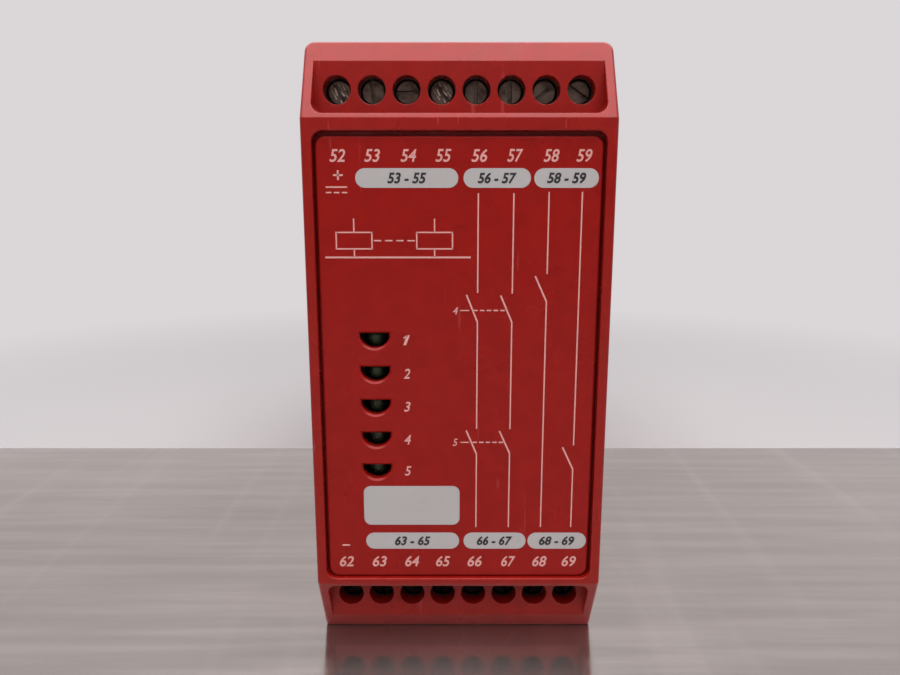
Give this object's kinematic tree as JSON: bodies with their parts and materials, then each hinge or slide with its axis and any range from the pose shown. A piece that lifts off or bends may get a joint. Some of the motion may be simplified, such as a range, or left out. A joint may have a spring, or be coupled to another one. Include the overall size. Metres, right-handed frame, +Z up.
{
  "type": "safety relay",
  "caption": "Safety relay in a narrow moulded housing that snaps onto a mounting rail, with two rows of screw terminals in sloped pockets and a column of lamps.",
  "frame": {"origin": "middle of the face the housing stands on (its lower end), at the bottom centre of the bounding box", "axes": "X to the right and Z up as seen from the front with its label; Y from the front to the rail side"},
  "size_m": [0.045, 0.119, 0.094],
  "materials": {
    "red_plastic": "fine moulded texture",
    "label_plastic": "smooth, printed",
    "black_plastic": "moulded",
    "spring_steel": "bare wire",
    "screw_steel": "dull zinc plating",
    "clamp_steel": "zinc plating",
    "tinned_brass": "tinned",
    "board": "solder resist",
    "relay_case": "moulded",
    "capacitor_sleeve": "shrunk sleeve",
    "varistor_coating": "dipped",
    "lamp_green": "diffused, unlit"
  },
  "bodies": {
    "housing": {"front_cover": "red_plastic", "rear_housing": "red_plastic", "label_plate": "label_plastic", "top_terminal_strip": "black_plastic", "bottom_terminal_strip": "black_plastic", "top_current_bars": "tinned_brass", "bottom_current_bars": "tinned_brass", "terminal_board": "board", "supply_board": "board", "relay_board": "board", "supply_header": "black_plastic", "relay_header": "black_plastic", "lamp_holder": "black_plastic", "relay_k1": "relay_case", "relay_k2": "relay_case", "smoothing_capacitor": "capacitor_sleeve", "voltage_regulator": "black_plastic", "varistor": "varistor_coating", "supply_fuse": "black_plastic", "logic_chip": "black_plastic", "latch_spring": "spring_steel", "lamp_1": "lamp_green", "lamp_2": "lamp_green", "lamp_3": "lamp_green", "lamp_4": "lamp_green", "lamp_5": "lamp_green"},
    "latch": {"rail_latch": "red_plastic"},
    "top_screw_1_body": {"top_screw_1": "screw_steel"},
    "top_clamp_1_body": {"top_clamp_1": "clamp_steel"},
    "top_screw_2_body": {"top_screw_2": "screw_steel"},
    "top_clamp_2_body": {"top_clamp_2": "clamp_steel"},
    "top_screw_3_body": {"top_screw_3": "screw_steel"},
    "top_clamp_3_body": {"top_clamp_3": "clamp_steel"},
    "top_screw_4_body": {"top_screw_4": "screw_steel"},
    "top_clamp_4_body": {"top_clamp_4": "clamp_steel"},
    "top_screw_5_body": {"top_screw_5": "screw_steel"},
    "top_clamp_5_body": {"top_clamp_5": "clamp_steel"},
    "top_screw_6_body": {"top_screw_6": "screw_steel"},
    "top_clamp_6_body": {"top_clamp_6": "clamp_steel"},
    "top_screw_7_body": {"top_screw_7": "screw_steel"},
    "top_clamp_7_body": {"top_clamp_7": "clamp_steel"},
    "top_screw_8_body": {"top_screw_8": "screw_steel"},
    "top_clamp_8_body": {"top_clamp_8": "clamp_steel"},
    "bottom_screw_1_body": {"bottom_screw_1": "screw_steel"},
    "bottom_clamp_1_body": {"bottom_clamp_1": "clamp_steel"},
    "bottom_screw_2_body": {"bottom_screw_2": "screw_steel"},
    "bottom_clamp_2_body": {"bottom_clamp_2": "clamp_steel"},
    "bottom_screw_3_body": {"bottom_screw_3": "screw_steel"},
    "bottom_clamp_3_body": {"bottom_clamp_3": "clamp_steel"},
    "bottom_screw_4_body": {"bottom_screw_4": "screw_steel"},
    "bottom_clamp_4_body": {"bottom_clamp_4": "clamp_steel"},
    "bottom_screw_5_body": {"bottom_screw_5": "screw_steel"},
    "bottom_clamp_5_body": {"bottom_clamp_5": "clamp_steel"},
    "bottom_screw_6_body": {"bottom_screw_6": "screw_steel"},
    "bottom_clamp_6_body": {"bottom_clamp_6": "clamp_steel"},
    "bottom_screw_7_body": {"bottom_screw_7": "screw_steel"},
    "bottom_clamp_7_body": {"bottom_clamp_7": "clamp_steel"},
    "bottom_screw_8_body": {"bottom_screw_8": "screw_steel"},
    "bottom_clamp_8_body": {"bottom_clamp_8": "clamp_steel"}
  },
  "joints": [
    {"name": "latch_slide", "type": "slide", "parent": "housing", "child": "latch", "axis": [0, 0, -1], "range_m": [0, 0.005], "stiffness_N_per_m": 800, "springref_m": -0.003, "deforming": ["latch_spring"]},
    {"name": "top_screw_1_turn", "type": "hinge", "parent": "housing", "child": "top_screw_1_body", "pos_m": [-0.01778, -0.0522, 0.08705], "axis": [0, 1, 0], "range_deg": [0, 2160]},
    {"name": "top_clamp_1_slide", "type": "slide", "parent": "housing", "child": "top_clamp_1_body", "axis": [0, -1, 0], "range_m": [0, 0.003]},
    {"name": "top_screw_2_turn", "type": "hinge", "parent": "housing", "child": "top_screw_2_body", "pos_m": [-0.0127, -0.0522, 0.08705], "axis": [0, 1, 0], "range_deg": [0, 2160]},
    {"name": "top_clamp_2_slide", "type": "slide", "parent": "housing", "child": "top_clamp_2_body", "axis": [0, -1, 0], "range_m": [0, 0.003]},
    {"name": "top_screw_3_turn", "type": "hinge", "parent": "housing", "child": "top_screw_3_body", "pos_m": [-0.00762, -0.0522, 0.08705], "axis": [0, 1, 0], "range_deg": [0, 2160]},
    {"name": "top_clamp_3_slide", "type": "slide", "parent": "housing", "child": "top_clamp_3_body", "axis": [0, -1, 0], "range_m": [0, 0.003]},
    {"name": "top_screw_4_turn", "type": "hinge", "parent": "housing", "child": "top_screw_4_body", "pos_m": [-0.00254, -0.0522, 0.08705], "axis": [0, 1, 0], "range_deg": [0, 2160]},
    {"name": "top_clamp_4_slide", "type": "slide", "parent": "housing", "child": "top_clamp_4_body", "axis": [0, -1, 0], "range_m": [0, 0.003]},
    {"name": "top_screw_5_turn", "type": "hinge", "parent": "housing", "child": "top_screw_5_body", "pos_m": [0.00254, -0.0522, 0.08705], "axis": [0, 1, 0], "range_deg": [0, 2160]},
    {"name": "top_clamp_5_slide", "type": "slide", "parent": "housing", "child": "top_clamp_5_body", "axis": [0, -1, 0], "range_m": [0, 0.003]},
    {"name": "top_screw_6_turn", "type": "hinge", "parent": "housing", "child": "top_screw_6_body", "pos_m": [0.00762, -0.0522, 0.08705], "axis": [0, 1, 0], "range_deg": [0, 2160]},
    {"name": "top_clamp_6_slide", "type": "slide", "parent": "housing", "child": "top_clamp_6_body", "axis": [0, -1, 0], "range_m": [0, 0.003]},
    {"name": "top_screw_7_turn", "type": "hinge", "parent": "housing", "child": "top_screw_7_body", "pos_m": [0.0127, -0.0522, 0.08705], "axis": [0, 1, 0], "range_deg": [0, 2160]},
    {"name": "top_clamp_7_slide", "type": "slide", "parent": "housing", "child": "top_clamp_7_body", "axis": [0, -1, 0], "range_m": [0, 0.003]},
    {"name": "top_screw_8_turn", "type": "hinge", "parent": "housing", "child": "top_screw_8_body", "pos_m": [0.01778, -0.0522, 0.08705], "axis": [0, 1, 0], "range_deg": [0, 2160]},
    {"name": "top_clamp_8_slide", "type": "slide", "parent": "housing", "child": "top_clamp_8_body", "axis": [0, -1, 0], "range_m": [0, 0.003]},
    {"name": "bottom_screw_1_turn", "type": "hinge", "parent": "housing", "child": "bottom_screw_1_body", "pos_m": [-0.01778, -0.0522, 0.00695], "axis": [0, 1, 0], "range_deg": [0, 2160]},
    {"name": "bottom_clamp_1_slide", "type": "slide", "parent": "housing", "child": "bottom_clamp_1_body", "axis": [0, -1, 0], "range_m": [0, 0.003]},
    {"name": "bottom_screw_2_turn", "type": "hinge", "parent": "housing", "child": "bottom_screw_2_body", "pos_m": [-0.0127, -0.0522, 0.00695], "axis": [0, 1, 0], "range_deg": [0, 2160]},
    {"name": "bottom_clamp_2_slide", "type": "slide", "parent": "housing", "child": "bottom_clamp_2_body", "axis": [0, -1, 0], "range_m": [0, 0.003]},
    {"name": "bottom_screw_3_turn", "type": "hinge", "parent": "housing", "child": "bottom_screw_3_body", "pos_m": [-0.00762, -0.0522, 0.00695], "axis": [0, 1, 0], "range_deg": [0, 2160]},
    {"name": "bottom_clamp_3_slide", "type": "slide", "parent": "housing", "child": "bottom_clamp_3_body", "axis": [0, -1, 0], "range_m": [0, 0.003]},
    {"name": "bottom_screw_4_turn", "type": "hinge", "parent": "housing", "child": "bottom_screw_4_body", "pos_m": [-0.00254, -0.0522, 0.00695], "axis": [0, 1, 0], "range_deg": [0, 2160]},
    {"name": "bottom_clamp_4_slide", "type": "slide", "parent": "housing", "child": "bottom_clamp_4_body", "axis": [0, -1, 0], "range_m": [0, 0.003]},
    {"name": "bottom_screw_5_turn", "type": "hinge", "parent": "housing", "child": "bottom_screw_5_body", "pos_m": [0.00254, -0.0522, 0.00695], "axis": [0, 1, 0], "range_deg": [0, 2160]},
    {"name": "bottom_clamp_5_slide", "type": "slide", "parent": "housing", "child": "bottom_clamp_5_body", "axis": [0, -1, 0], "range_m": [0, 0.003]},
    {"name": "bottom_screw_6_turn", "type": "hinge", "parent": "housing", "child": "bottom_screw_6_body", "pos_m": [0.00762, -0.0522, 0.00695], "axis": [0, 1, 0], "range_deg": [0, 2160]},
    {"name": "bottom_clamp_6_slide", "type": "slide", "parent": "housing", "child": "bottom_clamp_6_body", "axis": [0, -1, 0], "range_m": [0, 0.003]},
    {"name": "bottom_screw_7_turn", "type": "hinge", "parent": "housing", "child": "bottom_screw_7_body", "pos_m": [0.0127, -0.0522, 0.00695], "axis": [0, 1, 0], "range_deg": [0, 2160]},
    {"name": "bottom_clamp_7_slide", "type": "slide", "parent": "housing", "child": "bottom_clamp_7_body", "axis": [0, -1, 0], "range_m": [0, 0.003]},
    {"name": "bottom_screw_8_turn", "type": "hinge", "parent": "housing", "child": "bottom_screw_8_body", "pos_m": [0.01778, -0.0522, 0.00695], "axis": [0, 1, 0], "range_deg": [0, 2160]},
    {"name": "bottom_clamp_8_slide", "type": "slide", "parent": "housing", "child": "bottom_clamp_8_body", "axis": [0, -1, 0], "range_m": [0, 0.003]}
  ],
  "couplings": [
    {"joint": "top_screw_1_turn", "follows": "top_clamp_1_slide", "rad_per_m": 12566},
    {"joint": "top_screw_2_turn", "follows": "top_clamp_2_slide", "rad_per_m": 12566},
    {"joint": "top_screw_3_turn", "follows": "top_clamp_3_slide", "rad_per_m": 12566},
    {"joint": "top_screw_4_turn", "follows": "top_clamp_4_slide", "rad_per_m": 12566},
    {"joint": "top_screw_5_turn", "follows": "top_clamp_5_slide", "rad_per_m": 12566},
    {"joint": "top_screw_6_turn", "follows": "top_clamp_6_slide", "rad_per_m": 12566},
    {"joint": "top_screw_7_turn", "follows": "top_clamp_7_slide", "rad_per_m": 12566},
    {"joint": "top_screw_8_turn", "follows": "top_clamp_8_slide", "rad_per_m": 12566},
    {"joint": "bottom_screw_1_turn", "follows": "bottom_clamp_1_slide", "rad_per_m": 12566},
    {"joint": "bottom_screw_2_turn", "follows": "bottom_clamp_2_slide", "rad_per_m": 12566},
    {"joint": "bottom_screw_3_turn", "follows": "bottom_clamp_3_slide", "rad_per_m": 12566},
    {"joint": "bottom_screw_4_turn", "follows": "bottom_clamp_4_slide", "rad_per_m": 12566},
    {"joint": "bottom_screw_5_turn", "follows": "bottom_clamp_5_slide", "rad_per_m": 12566},
    {"joint": "bottom_screw_6_turn", "follows": "bottom_clamp_6_slide", "rad_per_m": 12566},
    {"joint": "bottom_screw_7_turn", "follows": "bottom_clamp_7_slide", "rad_per_m": 12566},
    {"joint": "bottom_screw_8_turn", "follows": "bottom_clamp_8_slide", "rad_per_m": 12566}
  ]
}
